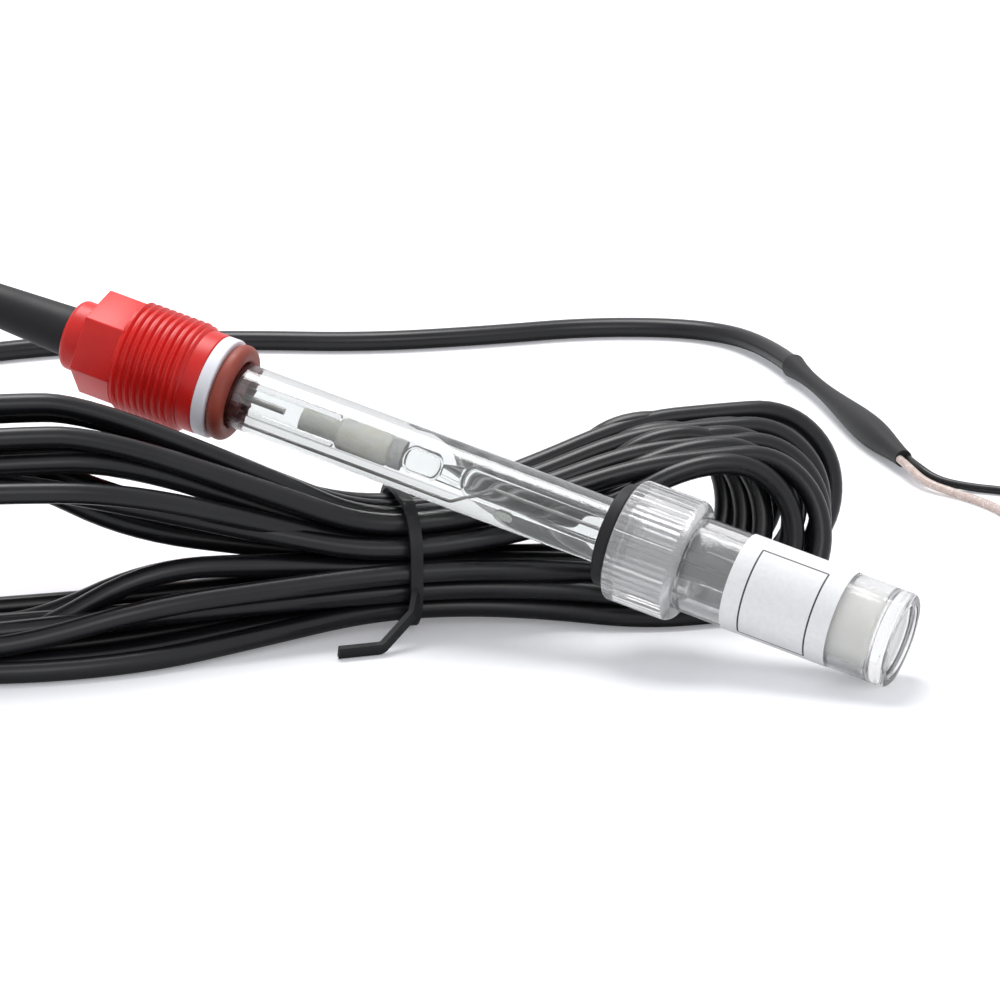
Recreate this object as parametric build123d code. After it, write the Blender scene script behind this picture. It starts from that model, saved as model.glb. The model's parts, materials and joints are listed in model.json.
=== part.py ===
from build123d import *
import math
import os

os.makedirs("parts", exist_ok=True)

# Combination pH electrode with a screw-in head, a wetting cap and a hanked lead.
# Millimetres. The probe leans on its tied hank, with the rim of its wetting
# bottle on the surface at Z = 0. +X runs along the probe towards its tip, and
# the origin is under the middle of the probe.

# Pose of the probe
tilt_deg = 13.5
rim_sink = 0.2

# Screw-in head. Stations are measured along the probe from the head's sealing
# face, towards the tip.
shaft_length = 120.0
thread_major_d = 20.4
thread_length = 13.6
relief_d = 18.7
relief_length = 3.0
hex_across_flats = 16.9
hex_length = 7.5
hex_roll_deg = 45.5
rear_collar_d = 13.0
rear_collar_length = 4.3
rear_collar_round = 1.4
thread_end_chamfer = 0.8
boot_socket_depth = 7.0

# Sealing rings on the shaft
thrust_ring_d = 18.6
thrust_ring_length = 2.5
o_ring_d = 17.9
o_ring_length = 3.0
o_ring_round = 1.25
ring_fit = 0.05

# Glass
shaft_d = 12.0
shaft_wall = 1.0
shaft_set_in = 19.5
shaft_shoulder = 7.0
shoulder_land = 0.95
stem_d = 4.4
stem_wall = 0.7
stem_top = 50.3
bulb_d = 7.6
bulb_wall = 0.6
reference_tube_d = 4.4
reference_tube_wall = 0.7
reference_tube_end = 25.4
reference_tube_set_in = 16.0
frit_station = 60.8
frit_length = 3.4
frit_width = 1.8
frit_roll_deg = 108.0
glass_fit = 0.04

# Pieces held inside the glass
plug_end = 36.3
plug_inside = 7.0
plug_d = 4.2
plug_round = 0.8
plug_swell_gap = 0.3
spacer_length = 2.4
spacer_d = 4.0
bead_length = 7.6
bead_d = 3.8
bead_wall = 0.5
seat_d = 3.0
seat_foot_d = 1.7
potting_end = 5.6
potting_set_back = 0.5
wire_d = 0.5
chloride_tip_d = 0.9
chloride_tip_length = 9.0
wire_set_back = 1.0
wire_offset = 3.5
wire_roll_deg = 156.0
wire_entry = 53.0
wire_entry_reach = 3.5
wire_bend = 2.0
wire_end_gap = 6.0
reference_wire_end = 15.0

# Cable boot and lead
boot_d = 9.2
boot_length = 45.0
boot_end_d = 5.0
boot_lip_round = 0.4
boot_stub_d = 7.9
boot_stub_fit = 0.05
boot_stub_gap = 0.3
cable_d = 3.9
core_wire_d = 1.6
shrink_d = 4.8
shrink_bulge_d = 5.7
shrink_end_d = 3.4
tinned_length = 6.0
tinned_d = 0.9

# Wetting cap
cap_cover = 40.65
seal_lip = 2.2
seal_flange_length = 2.6
seal_wall = 1.3
seal_neck_length = 2.9
seal_rim_round = 0.6
seal_fit = 0.1
collar_gap = 0.15
collar_wall = 2.8
collar_length = 12.8
collar_lip = 1.6
collar_end_land = 0.9
collar_back_round = 0.7
rib_count = 54
rib_depth = 0.35
rib_gap_share = 0.72
rib_end_land = 1.2
cap_clearance = 0.3
neck_wall = 1.05
neck_fit = 0.4
neck_step_gap = 0.4
bottle_room = 0.9
bottle_wall = 1.775
bottle_length = 50.2
bottle_floor = 3.2
bottle_rim_round = 0.9
bottle_shoulder_round = 0.5
bottle_inner_round = 1.5
bottle_recess_depth = 0.8
bottle_recess_round = 0.55
bottle_foot_width = 1.8
label_start = 19.0
label_length = 20.0
label_thickness = 0.15
label_wrap_deg = 250.0
label_roll_deg = 66.0
label_fit = 0.01
sponge_fit = 0.15
sponge_length = 27.85
sponge_round = 1.6

# Hank: plan direction, and sections of its outline as (along, across, half
# width, underside, top), measured from the tie. The waist gives the last four
hank_turn_deg = 36.0
tie_x_from_face = 35.9
tie_y = 1.5
waist_run = 3.0
waist = (0.0, 11.8, 1.4, 22.6)
hank_sections = [
    (-108.0, -3.0, 12.0, 3.0, 34.0),
    (-96.0, -3.0, 18.0, 0.0, 44.0),
    (-75.0, -4.0, 19.5, 0.0, 48.0),
    (-50.0, -4.0, 18.5, 0.0, 45.0),
    (-24.0, -2.5, 15.5, 0.0, 33.5),
    (-waist_run, *waist),
    (waist_run, *waist),
    (24.0, 0.0, 14.5, 0.0, 31.5),
    (48.0, 1.0, 16.5, 0.0, 36.0),
    (70.0, 3.0, 17.0, 0.0, 35.0),
    (86.0, 5.0, 11.0, 2.0, 26.0),
]
hank_corner = 0.36
hank_clearance = 0.4
holder_room = 1.4
holder_length = 14.0
tie_width = 2.2
tie_thickness = 1.0
tie_slack = 0.25
tie_bend = 2.0
tie_knot_height = 8.7
tie_end_height = 1.3

# Worked out from the sizes above
tilt = math.radians(tilt_deg)
thread_start = -(relief_length + thread_length)
hex_start = thread_start - hex_length
head_rear = hex_start - rear_collar_length
boot_rear = head_rear - boot_length
shaft_r = shaft_d / 2
stem_r = stem_d / 2

# The cap fits round the shaft, and its place follows the shaft's tip
seal_station = shaft_length - cap_cover
seal_neck_d = shaft_d + 2 * seal_wall
seal_flange_d = seal_neck_d + 2 * seal_lip
bottle_bore_d = shaft_d + 2 * bottle_room
bottle_d = bottle_bore_d + 2 * bottle_wall
neck_d = bottle_bore_d + 2 * neck_wall
collar_bore_d = neck_d + 2 * neck_fit
collar_d = collar_bore_d + 2 * collar_wall
collar_start = seal_station + seal_flange_length + collar_gap
bottle_start = seal_station + seal_flange_length + seal_neck_length + cap_clearance
bottle_base = bottle_start + bottle_length

# The probe rests on the rim of its bottle
face_height = bottle_base * math.sin(tilt) + (bottle_d / 2 - rim_sink) * math.cos(tilt)
rear_reach = boot_rear * math.cos(tilt) - boot_end_d / 2 * math.sin(tilt)
front_reach = bottle_base * math.cos(tilt) + bottle_d / 2 * math.sin(tilt)
face_x = -(rear_reach + front_reach) / 2

probe = Plane(
    origin=(face_x, 0, face_height),
    x_dir=(math.sin(tilt), 0, math.cos(tilt)),
    z_dir=(math.cos(tilt), 0, -math.sin(tilt)),
)
tie_x = face_x + tie_x_from_face


def half_section(*corners):
    """A flat half profile from (radius, station) corners, for turning about the probe."""
    return Plane.XZ * make_face(Polyline(*corners, close=True))


def turned(profile):
    return revolve(profile, axis=Axis.Z)


def tube(outer_d, bore_d, start, end):
    """A plain ring or tube between two stations."""
    corners = [(bore_d / 2, start), (outer_d / 2, start), (outer_d / 2, end), (bore_d / 2, end)]
    return turned(half_section(*corners))


def rod(diameter, start, end):
    return tube(diameter, 0, start, end)


def around(angle_deg, radius, station=0.0):
    """A point on the probe at an angle about its axis."""
    a = math.radians(angle_deg)
    return Vector(radius * math.cos(a), radius * math.sin(a), station)


def corner_at(face, radius, station):
    """The corner of a half profile that is nearest to a radius and a station."""
    return face.vertices().sort_by_distance((radius, 0, station))[0]


def keep(name, shape):
    """Write one node, placed on the surface."""
    shape.label = name
    export_step(shape, f"parts/{name}.step")
    return shape


def keep_on_probe(name, shape):
    return keep(name, probe * shape)


# Screw-in head: one moulding with a rear collar, a hexagon, the thread's
# cylinder and a relief ahead of the sealing face
def threaded_head():
    collar = rod(rear_collar_d, head_rear, hex_start)
    rear_edge = collar.edges().filter_by(GeomType.CIRCLE).sort_by(Axis.Z)[0]
    collar = fillet(rear_edge, rear_collar_round)
    hexagon = RegularPolygon(hex_across_flats / 2, 6, major_radius=False, rotation=hex_roll_deg)
    hexagon = Pos(0, 0, hex_start) * extrude(hexagon, hex_length)
    thread = rod(thread_major_d, thread_start, -relief_length)
    ends = thread.edges().filter_by(GeomType.CIRCLE)
    thread = chamfer(ends, thread_end_chamfer)
    relief = rod(relief_d, -relief_length - thread_end_chamfer, 0)
    body = collar + hexagon + thread + relief
    socket = rod(shaft_d + 2 * glass_fit, -shaft_set_in - glass_fit, 1)
    boot_socket = rod(boot_stub_d + 2 * boot_stub_fit, head_rear - 1, head_rear + boot_socket_depth)
    return body - socket - boot_socket


def o_ring():
    bore = shaft_d + 2 * ring_fit
    start = thrust_ring_length + ring_fit
    corners = [
        (bore / 2, start),
        (o_ring_d / 2, start),
        (o_ring_d / 2, start + o_ring_length),
        (bore / 2, start + o_ring_length),
    ]
    face = half_section(*corners)
    outer = face.vertices().sort_by(Axis.X)[2:]
    return turned(fillet(outer, o_ring_round))


# Glass: the shaft closes in on the stem, and the stem ends in the sensing bulb
shoulder_station = shaft_length - shaft_shoulder
shoulder_round = shaft_r - stem_r - shoulder_land


def glass_shaft():
    bore_r = shaft_r - shaft_wall
    lip_r = stem_r + glass_fit
    face = half_section(
        (bore_r, -shaft_set_in),
        (shaft_r, -shaft_set_in),
        (shaft_r, shoulder_station),
        (lip_r, shoulder_station),
        (lip_r, shoulder_station - shaft_wall),
        (bore_r, shoulder_station - shaft_wall),
    )
    face = fillet(corner_at(face, shaft_r, shoulder_station), shoulder_round)
    face = fillet(corner_at(face, bore_r, shoulder_station - shaft_wall), shoulder_round - shaft_wall)
    return turned(face) - frit_slot(glass_fit)


def frit_slot(grow=0.0):
    """The porous junction's outline, sunk through the shaft's wall."""
    depth = shaft_wall + 2 * grow
    slot = SlotOverall(frit_length + 2 * grow, frit_width + 2 * grow)
    across = Plane(
        origin=around(frit_roll_deg, shaft_r - shaft_wall - grow, frit_station),
        x_dir=(0, 0, 1),
        z_dir=around(frit_roll_deg, 1),
    )
    return across * extrude(slot, depth)


def ceramic_junction():
    skin = rod(shaft_d, frit_station - frit_length, frit_station + frit_length)
    return frit_slot() & skin


def sensing_stem():
    """A closed tube with a domed top, blown out into a thin bulb at the tip."""
    bulb_r = bulb_d / 2
    bulb_centre = shaft_length - bulb_r
    outer = rod(stem_d, stem_top, bulb_centre)
    top_edge = outer.edges().filter_by(GeomType.CIRCLE).sort_by(Axis.Z)[0]
    outer = fillet(top_edge, stem_r - 0.05)
    outer = outer + Pos(0, 0, bulb_centre) * Sphere(bulb_r)
    bore_d = stem_d - 2 * stem_wall
    bore = rod(bore_d, stem_top + stem_wall, bulb_centre)
    bore_edge = bore.edges().filter_by(GeomType.CIRCLE).sort_by(Axis.Z)[0]
    bore = fillet(bore_edge, bore_d / 2 - 0.05)
    bore = bore + Pos(0, 0, bulb_centre) * Sphere(bulb_r - bulb_wall)
    return outer - bore - measuring_wire_core(wire_d + 2 * glass_fit)


def measuring_wire_core(diameter):
    """The silver wire: along the shaft's wall, then in through the stem's side to its middle."""
    path = FilletPolyline(
        around(wire_roll_deg, wire_offset, wire_set_back - shaft_set_in),
        around(wire_roll_deg, wire_offset, wire_entry - wire_entry_reach),
        Vector(0, 0, wire_entry + wire_entry_reach),
        Vector(0, 0, shaft_length - wire_end_gap),
        radius=wire_bend,
    )
    return sweep(path.location_at(0) * Circle(diameter / 2), path)


def measuring_wire():
    wire = measuring_wire_core(wire_d)
    end = shaft_length - wire_end_gap
    return wire + rod(chloride_tip_d, end - chloride_tip_length, end)


def reference_wire():
    tip = rod(chloride_tip_d, reference_wire_end - chloride_tip_length, reference_wire_end)
    return rod(wire_d, wire_set_back - shaft_set_in, reference_wire_end) + tip


def reference_tube():
    bore_d = reference_tube_d - 2 * reference_tube_wall
    return tube(reference_tube_d, bore_d, -reference_tube_set_in, reference_tube_end)


# The wad that closes the reference tube, and the stack between it and the stem
bore_of_reference = reference_tube_d - 2 * reference_tube_wall
plug_swell_start = reference_tube_end + plug_swell_gap


def cotton_plug():
    inside = rod(bore_of_reference - 2 * glass_fit, reference_tube_end - plug_inside, plug_swell_start)
    swell = rod(plug_d, plug_swell_start, plug_end)
    swell = fillet(swell.edges().filter_by(GeomType.CIRCLE), plug_round)
    return inside + swell


def felt_spacer():
    return rod(spacer_d, plug_end + glass_fit, plug_end + spacer_length)


bead_start = plug_end + spacer_length + glass_fit
seat_start = bead_start + bead_length + glass_fit


def capsule(diameter, start, end):
    body = rod(diameter, start, end)
    return fillet(body.edges().filter_by(GeomType.CIRCLE), diameter / 2 - 0.05)


def glass_bead():
    end = bead_start + bead_length
    hollow = capsule(bead_d - 2 * bead_wall, bead_start + bead_wall, end - bead_wall)
    return capsule(bead_d, bead_start, end) - hollow


def glass_seat():
    height = stem_top - seat_start - glass_fit
    return Pos(0, 0, seat_start + height / 2) * Cone(seat_foot_d / 2, seat_d / 2, height)


def potting_plug():
    bore_d = shaft_d - 2 * shaft_wall
    tube_seat = -reference_tube_set_in - glass_fit
    plug = rod(bore_d - 2 * glass_fit, potting_set_back - shaft_set_in, potting_end)
    plug = plug - rod(reference_tube_d + 2 * glass_fit, tube_seat, potting_end + 1)
    plug = plug - rod(wire_d + 2 * glass_fit, -shaft_set_in, potting_end)
    return plug - measuring_wire_core(wire_d + 2 * glass_fit)


# Wetting cap: a rubber seal that grips the shaft, a ribbed screw collar and a bottle
seal_face = seal_station + seal_flange_length


def rubber_seal():
    bore_r = shaft_r + seal_fit
    face = half_section(
        (bore_r, seal_station),
        (seal_flange_d / 2, seal_station),
        (seal_flange_d / 2, seal_face),
        (seal_neck_d / 2, seal_face),
        (seal_neck_d / 2, seal_face + seal_neck_length),
        (bore_r, seal_face + seal_neck_length),
    )
    rim = face.vertices().group_by(Axis.X)[-1]
    return turned(fillet(rim, seal_rim_round))


def knurled_collar():
    hole_r = seal_neck_d / 2 + cap_clearance
    end = collar_start + collar_length
    face = half_section(
        (hole_r, collar_start),
        (collar_d / 2, collar_start),
        (collar_d / 2, end),
        (collar_bore_d / 2, end),
        (collar_bore_d / 2, collar_start + collar_lip),
        (hole_r, collar_start + collar_lip),
    )
    face = fillet(corner_at(face, collar_d / 2, end), collar_wall - collar_end_land)
    face = fillet(corner_at(face, collar_d / 2, collar_start), collar_back_round)
    groove = rib_groove()
    grooves = [Rot(0, 0, i * 360 / rib_count) * groove for i in range(rib_count)]
    return turned(face) - Compound(children=grooves)


def rib_groove():
    """One V between two ribs, drawn a little past the collar's surface."""
    root_r = collar_d / 2 - rib_depth
    mouth_r = collar_d / 2 + rib_depth / 5
    gap = rib_gap_share * math.pi * collar_d / rib_count
    half_mouth = gap / 2 * (mouth_r - root_r) / rib_depth
    notch = make_face(Polyline((root_r, 0), (mouth_r, half_mouth), (mouth_r, -half_mouth), close=True))
    return Pos(0, 0, collar_start - 1) * extrude(notch, collar_length - rib_end_land + 1)


def storage_bottle():
    neck_end = collar_start + collar_length + neck_step_gap
    bore_r = bottle_bore_d / 2
    face = half_section(
        (bore_r, bottle_start),
        (neck_d / 2, bottle_start),
        (neck_d / 2, neck_end),
        (bottle_d / 2, neck_end),
        (bottle_d / 2, bottle_base),
        (0, bottle_base),
        (0, bottle_base - bottle_floor),
        (bore_r, bottle_base - bottle_floor),
    )
    face = fillet(corner_at(face, bottle_d / 2, bottle_base), bottle_rim_round)
    face = fillet(corner_at(face, bottle_d / 2, neck_end), bottle_shoulder_round)
    face = fillet(corner_at(face, bore_r, bottle_base - bottle_floor), bottle_inner_round)
    recess = rod(bottle_d - 2 * bottle_foot_width, bottle_base - bottle_recess_depth, bottle_base + 1)
    recess_edge = recess.edges().filter_by(GeomType.CIRCLE).sort_by(Axis.Z)[0]
    return turned(face) - fillet(recess_edge, bottle_recess_round)


def bottle_label():
    """A film wrapped round the bottle, with its gap on the side away from label_roll_deg."""
    start = bottle_start + label_start
    wrap = tube(bottle_d + 2 * label_thickness, bottle_d + 2 * label_fit, start, start + label_length)
    half_gap = (360 - label_wrap_deg) / 2
    facing = label_roll_deg + 180
    first = around(facing - half_gap, bottle_d)
    last = around(facing + half_gap, bottle_d)
    wedge = make_face(Polyline((0, 0, 0), first, around(facing, 2 * bottle_d), last, close=True))
    return wrap - Pos(0, 0, start - 1) * extrude(wedge, label_length + 2)


def wet_sponge():
    end = bottle_base - bottle_floor - sponge_fit
    body = rod(bottle_bore_d - 2 * sponge_fit, end - sponge_length, end)
    body = fillet(body.edges().filter_by(GeomType.CIRCLE), sponge_round)
    pocket = rod(shaft_d + 2 * cap_clearance, 0, shaft_length + cap_clearance)
    return body - pocket


# Cable boot, then the lead, its hank and its free end
def cable_boot():
    stub = rod(boot_stub_d, head_rear, head_rear + boot_socket_depth - boot_stub_gap)
    cone = Cone(boot_end_d / 2, boot_d / 2, boot_length)
    boot = Pos(0, 0, boot_rear + boot_length / 2) * cone + stub
    lip = boot.edges().filter_by(GeomType.CIRCLE).sort_by(Axis.Z)[0]
    return fillet(lip, boot_lip_round)


def cord_tube(name, route, diameter):
    """Straight runs joined by tangent arcs as large as the runs allow."""
    points = [Vector(*p) for p in route]
    runs = [b - a for a, b in zip(points, points[1:])]
    radii = []
    for before, after in zip(runs, runs[1:]):
        turn = math.radians(before.get_angle(after))
        radii.append(0.45 * min(before.length, after.length) / math.tan(turn / 2))
    path = FilletPolyline(*points, radius=radii)
    solid = sweep(path.location_at(0) * Circle(diameter / 2), path)
    share = solid.volume / (math.pi * diameter ** 2 / 4 * path.length)
    print(name, "length", round(path.length, 1), "volume over section times length", round(share, 4))
    print(name, "radii", [round(r, 1) for r in radii])
    return solid


turn = math.radians(hank_turn_deg)
hank_along = Vector(math.cos(turn), math.sin(turn), 0)
hank_across = Vector(-math.sin(turn), math.cos(turn), 0)
tie_foot = Vector(tie_x, tie_y, 0)


def hank_section(along, across, half_width, underside, top, grow=0.0):
    height = top - underside
    middle = tie_foot + hank_along * along + hank_across * across + Vector(0, 0, underside + height / 2)
    plane = Plane(origin=middle, x_dir=hank_across, z_dir=hank_along)
    corner = hank_corner * min(2 * half_width, height) + grow
    return plane * RectangleRounded(2 * (half_width + grow), height + 2 * grow, corner)


def probe_room():
    """The space the probe needs above and beside the hank."""
    grow = 2 * hank_clearance
    room = rod(shaft_d + grow, 0, seal_station)
    room = room + rod(thread_major_d + 2 * holder_room, head_rear - 1, holder_length)
    return probe * (room + rod(collar_d + grow, seal_station - 1, bottle_base))


def cord_hank():
    body = loft([hank_section(*s) for s in hank_sections], ruled=True)
    return body - probe_room()


def cable_tie():
    """A rubber-coated wire strap round the waist, twisted off with its ends left on the surface."""
    waist_across, waist_half_width = waist[:2]
    outer = hank_section(0, *waist, grow=tie_slack + tie_thickness)
    inner = hank_section(0, *waist, grow=tie_slack)
    band = extrude(outer - inner, tie_width / 2, dir=hank_along, both=True)
    foot_reach = waist_across - waist_half_width - tie_slack - tie_thickness / 2
    knot = tie_foot + hank_across * foot_reach + Vector(0, 0, tie_knot_height)
    down = Vector(0, 0, tie_end_height - tie_knot_height)
    path = FilletPolyline(
        knot,
        knot - hank_across * 3.0 - hank_along * 1.5 + down * 0.4,
        knot - hank_across * 7.0 - hank_along * 8.0 + down,
        knot - hank_across * 7.5 - hank_along * 16.0 + down,
        radius=tie_bend,
    )
    tail = sweep(path.location_at(0) * Rectangle(tie_width, tie_thickness), path)
    return band + tail


boot_tip = (probe * Pos(0, 0, boot_rear)).position
back = -probe.z_dir
cable_r = cable_d / 2
hank_end = tie_foot + hank_along * hank_sections[0][0]
lead_entry = hank_end + hank_across * 4.0 + Vector(0, 0, 31.0)
tail_exit = hank_end - hank_across * 8.0 + Vector(0, 0, 5.5)

lead_route = [
    tuple(boot_tip),
    tuple(boot_tip + back * 14),
    (-133, -12, 60),
    (-144, -35, 54),
    (-143, -58, 47),
    (-132, -77, 40),
    (-113, -80, 35),
    tuple(lead_entry - hank_along * 16),
    tuple(lead_entry),
]

shrink_start = Vector(20.6, 164.4, 2.9)
shrink_end = Vector(60.8, 115.4, 2.9)
shrink_dir = (shrink_end - shrink_start).normalized()
shrink_side = Vector(-shrink_dir.Y, shrink_dir.X, 0)

tail_route = [
    tuple(tail_exit),
    tuple(tail_exit - hank_along * 15),
    (-107, -86, cable_r),
    (-128, -83, cable_r),
    (-142, -66, cable_r),
    (-147, -42, cable_r),
    (-144, -10, cable_r),
    (-146, 28, cable_r),
    (-151, 68, cable_r),
    (-144, 104, cable_r),
    (-119, 128, cable_r),
    (-90, 142, cable_r),
    (-66, 150, cable_r),
    (-46, 163, cable_r),
    (-27, 178, cable_r),
    (-5, 185, cable_r),
    tuple(shrink_start - shrink_dir * 14),
    tuple(shrink_start),
]

core_r = core_wire_d / 2
clear_route = [
    tuple(shrink_end - shrink_side * core_r),
    tuple(shrink_end - shrink_side * core_r + shrink_dir * 5.2),
    (68.3, 106.8, 1.5),
    (75.4, 104.9, core_r),
    (82.2, 101.6, core_r),
    (88.4, 96.4, core_r),
    (93.6, 90.6, core_r),
]
black_route = [
    tuple(shrink_end + shrink_side * core_r),
    tuple(shrink_end + shrink_side * core_r + shrink_dir * 5.2),
    (70.0, 109.0, 1.5),
    (76.6, 109.6, core_r),
    (83.2, 110.2, core_r),
    (89.8, 108.8, core_r),
    (96.0, 105.6, core_r),
]


def heat_shrink():
    """Shrunk sleeve over the stripped end: a faint bulge, then a narrow mouth."""
    length = (shrink_end - shrink_start).length
    profile = Spline(
        (shrink_d / 2, 0),
        (shrink_d / 2, length * 0.5),
        (shrink_bulge_d / 2, length * 0.76),
        (shrink_end_d / 2 + 0.25, length * 0.93),
        (shrink_end_d / 2, length),
    )
    ends = Polyline((shrink_end_d / 2, length), (0, length), (0, 0), (shrink_d / 2, 0))
    sleeve = turned(Plane.XZ * make_face(profile + ends))
    return Plane(origin=shrink_start, x_dir=(0, 0, 1), z_dir=shrink_dir) * sleeve


def tinned_tip(route):
    last = Vector(*route[-1])
    run = (last - Vector(*route[-2])).normalized()
    middle = last + run * (tinned_length / 2)
    return Plane(origin=middle, z_dir=run) * Cylinder(tinned_d / 2, tinned_length)


keep_on_probe("threaded_head", threaded_head())
keep_on_probe("thrust_ring", tube(thrust_ring_d, shaft_d + 2 * ring_fit, ring_fit, thrust_ring_length))
keep_on_probe("o_ring", o_ring())
keep_on_probe("glass_shaft", glass_shaft())
keep_on_probe("ceramic_junction", ceramic_junction())
keep_on_probe("sensing_stem", sensing_stem())
keep_on_probe("measuring_wire", measuring_wire())
keep_on_probe("reference_tube", reference_tube())
keep_on_probe("reference_wire", reference_wire())
keep_on_probe("cotton_plug", cotton_plug())
keep_on_probe("felt_spacer", felt_spacer())
keep_on_probe("glass_bead", glass_bead())
keep_on_probe("glass_seat", glass_seat())
keep_on_probe("potting_plug", potting_plug())
keep_on_probe("cable_boot", cable_boot())
keep_on_probe("rubber_seal", rubber_seal())
keep_on_probe("knurled_collar", knurled_collar())
keep_on_probe("storage_bottle", storage_bottle())
keep_on_probe("bottle_label", bottle_label())
keep_on_probe("wet_sponge", wet_sponge())
keep("cord_hank", cord_hank())
keep("cable_tie", cable_tie())
keep("cord_lead", cord_tube("lead", lead_route, cable_d))
keep("cord_tail", cord_tube("tail", tail_route, cable_d))
keep("heat_shrink", heat_shrink())
keep("clear_core_wire", cord_tube("clear wire", clear_route, core_wire_d))
keep("black_core_wire", cord_tube("black wire", black_route, core_wire_d))
keep("clear_wire_tip", tinned_tip(clear_route))
keep("black_wire_tip", tinned_tip(black_route))
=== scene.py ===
import json
import math

import bpy
from mathutils import Matrix, Vector


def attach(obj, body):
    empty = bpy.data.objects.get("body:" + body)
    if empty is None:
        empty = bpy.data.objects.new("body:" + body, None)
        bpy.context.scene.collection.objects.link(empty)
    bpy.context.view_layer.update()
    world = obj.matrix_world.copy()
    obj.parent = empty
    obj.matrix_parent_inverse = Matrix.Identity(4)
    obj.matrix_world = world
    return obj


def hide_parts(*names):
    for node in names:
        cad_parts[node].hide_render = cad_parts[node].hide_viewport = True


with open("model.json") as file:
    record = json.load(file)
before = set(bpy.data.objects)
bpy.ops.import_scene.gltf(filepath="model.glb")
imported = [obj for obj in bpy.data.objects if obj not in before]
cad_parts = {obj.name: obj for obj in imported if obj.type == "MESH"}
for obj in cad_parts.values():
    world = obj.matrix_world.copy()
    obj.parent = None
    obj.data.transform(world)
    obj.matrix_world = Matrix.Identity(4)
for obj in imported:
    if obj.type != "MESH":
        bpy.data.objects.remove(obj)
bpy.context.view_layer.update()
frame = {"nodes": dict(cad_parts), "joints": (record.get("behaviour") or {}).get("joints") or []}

# A combination pH electrode, with its wetting cap on and its lead tied in a hank.
# Lengths are written in millimetres and multiplied by mm, because the scene is in metres.
mm = 0.001

# Place of the probe, from the frame: its axis, and the sealing face of its head
joints = {joint["name"]: joint for joint in frame["joints"]}
probe_axis = Vector(joints["cap_pull_off"]["axis"]).normalized()
collar_station = 88.0 * mm
sealing_face = Vector(joints["collar_turn"]["pos_m"]) - probe_axis * collar_station
probe_up = Vector((-probe_axis.z, 0.0, probe_axis.x))
probe_side = probe_axis.cross(probe_up)
probe_turn = Matrix((probe_up, probe_side, probe_axis)).transposed()
probe_place = Matrix.Translation(sealing_face) @ probe_turn.to_4x4()

# Round pieces have this many sides
turn_steps = 128


# Modelling by hand: one helper for each kind of start
def pick_nothing():
    bpy.ops.object.select_all(action="DESELECT")


def start_editing(piece):
    pick_nothing()
    piece.select_set(True)
    bpy.context.view_layer.objects.active = piece
    bpy.ops.object.mode_set(mode="EDIT")
    bpy.ops.mesh.select_all(action="SELECT")


def stop_editing():
    bpy.ops.object.mode_set(mode="OBJECT")


def finish_mesh(piece, smooth_deg=35.0):
    """Merge doubles, point the faces outwards and smooth the round stretches."""
    start_editing(piece)
    bpy.ops.mesh.remove_doubles(threshold=0.0005 * mm)
    bpy.ops.mesh.normals_make_consistent(inside=False)
    stop_editing()
    bpy.ops.object.shade_smooth_by_angle(angle=math.radians(smooth_deg))
    return piece


def started(name):
    piece = bpy.context.object
    piece.name = name
    piece.data.name = name
    bpy.ops.object.transform_apply(location=True, rotation=True, scale=True)
    return piece


def turned(name, profile, closed=False, steps=turn_steps, smooth_deg=35.0):
    """A turned piece from (radius, station) points in millimetres, extruded ring by ring along Z.
    A closed profile makes a tube, and an open one a solid with flat ends."""
    points = [(radius * mm, station * mm) for radius, station in profile]
    if closed:
        points.append(points[0])
    (radius, station), rest = points[0], points[1:]
    pick_nothing()
    fill = "NOTHING" if closed else "NGON"
    bpy.ops.mesh.primitive_circle_add(vertices=steps, radius=radius, fill_type=fill, location=(0, 0, station))
    piece = started(name)
    start_editing(piece)
    for next_radius, next_station in rest:
        rise = next_station - station
        bpy.ops.mesh.extrude_region_move(TRANSFORM_OT_translate={"value": (0, 0, rise)})
        growth = next_radius / radius
        bpy.ops.transform.resize(value=(growth, growth, 1), center_override=(0, 0, next_station))
        radius, station = next_radius, next_station
    stop_editing()
    return finish_mesh(piece, smooth_deg)


def rounded(corners, closed=True, arc_steps=6):
    """Points of a profile whose (radius, station, round) corners are rounded by arcs."""
    points = []
    for i, (radius, station, bend) in enumerate(corners):
        at_end = not closed and i in (0, len(corners) - 1)
        if bend == 0 or at_end:
            points.append((radius, station))
            continue
        here = Vector((radius, station))
        before = (Vector(corners[i - 1][:2]) - here).normalized()
        after = (Vector(corners[(i + 1) % len(corners)][:2]) - here).normalized()
        half = before.angle(after) / 2
        centre = here + (before + after).normalized() * bend / math.sin(half)
        first = here + before * bend / math.tan(half) - centre
        last = here + after * bend / math.tan(half) - centre
        start = math.atan2(first.y, first.x)
        sweep = (math.atan2(last.y, last.x) - start + math.pi) % (2 * math.pi) - math.pi
        for step in range(arc_steps + 1):
            angle = start + sweep * step / arc_steps
            points.append((centre.x + bend * math.cos(angle), centre.y + bend * math.sin(angle)))
    return points


def drawn_line(name, points):
    """An open chain of edges through (x, y, z) points in millimetres."""
    points = [Vector(p) * mm for p in points]
    pick_nothing()
    bpy.ops.mesh.primitive_plane_add(size=0.1 * mm, location=points[0])
    piece = started(name)
    start_editing(piece)
    bpy.ops.mesh.merge(type="CENTER")
    for here, there in zip(points, points[1:]):
        bpy.ops.mesh.extrude_region_move(TRANSFORM_OT_translate={"value": there - here})
    stop_editing()
    return piece


def with_modifier(piece, kind, **settings):
    """Add a modifier and apply it."""
    pick_nothing()
    piece.select_set(True)
    bpy.context.view_layer.objects.active = piece
    modifier = piece.modifiers.new(kind.lower(), kind)
    for name, value in settings.items():
        setattr(modifier, name, value)
    bpy.ops.object.modifier_apply(modifier=modifier.name)
    return piece


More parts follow.
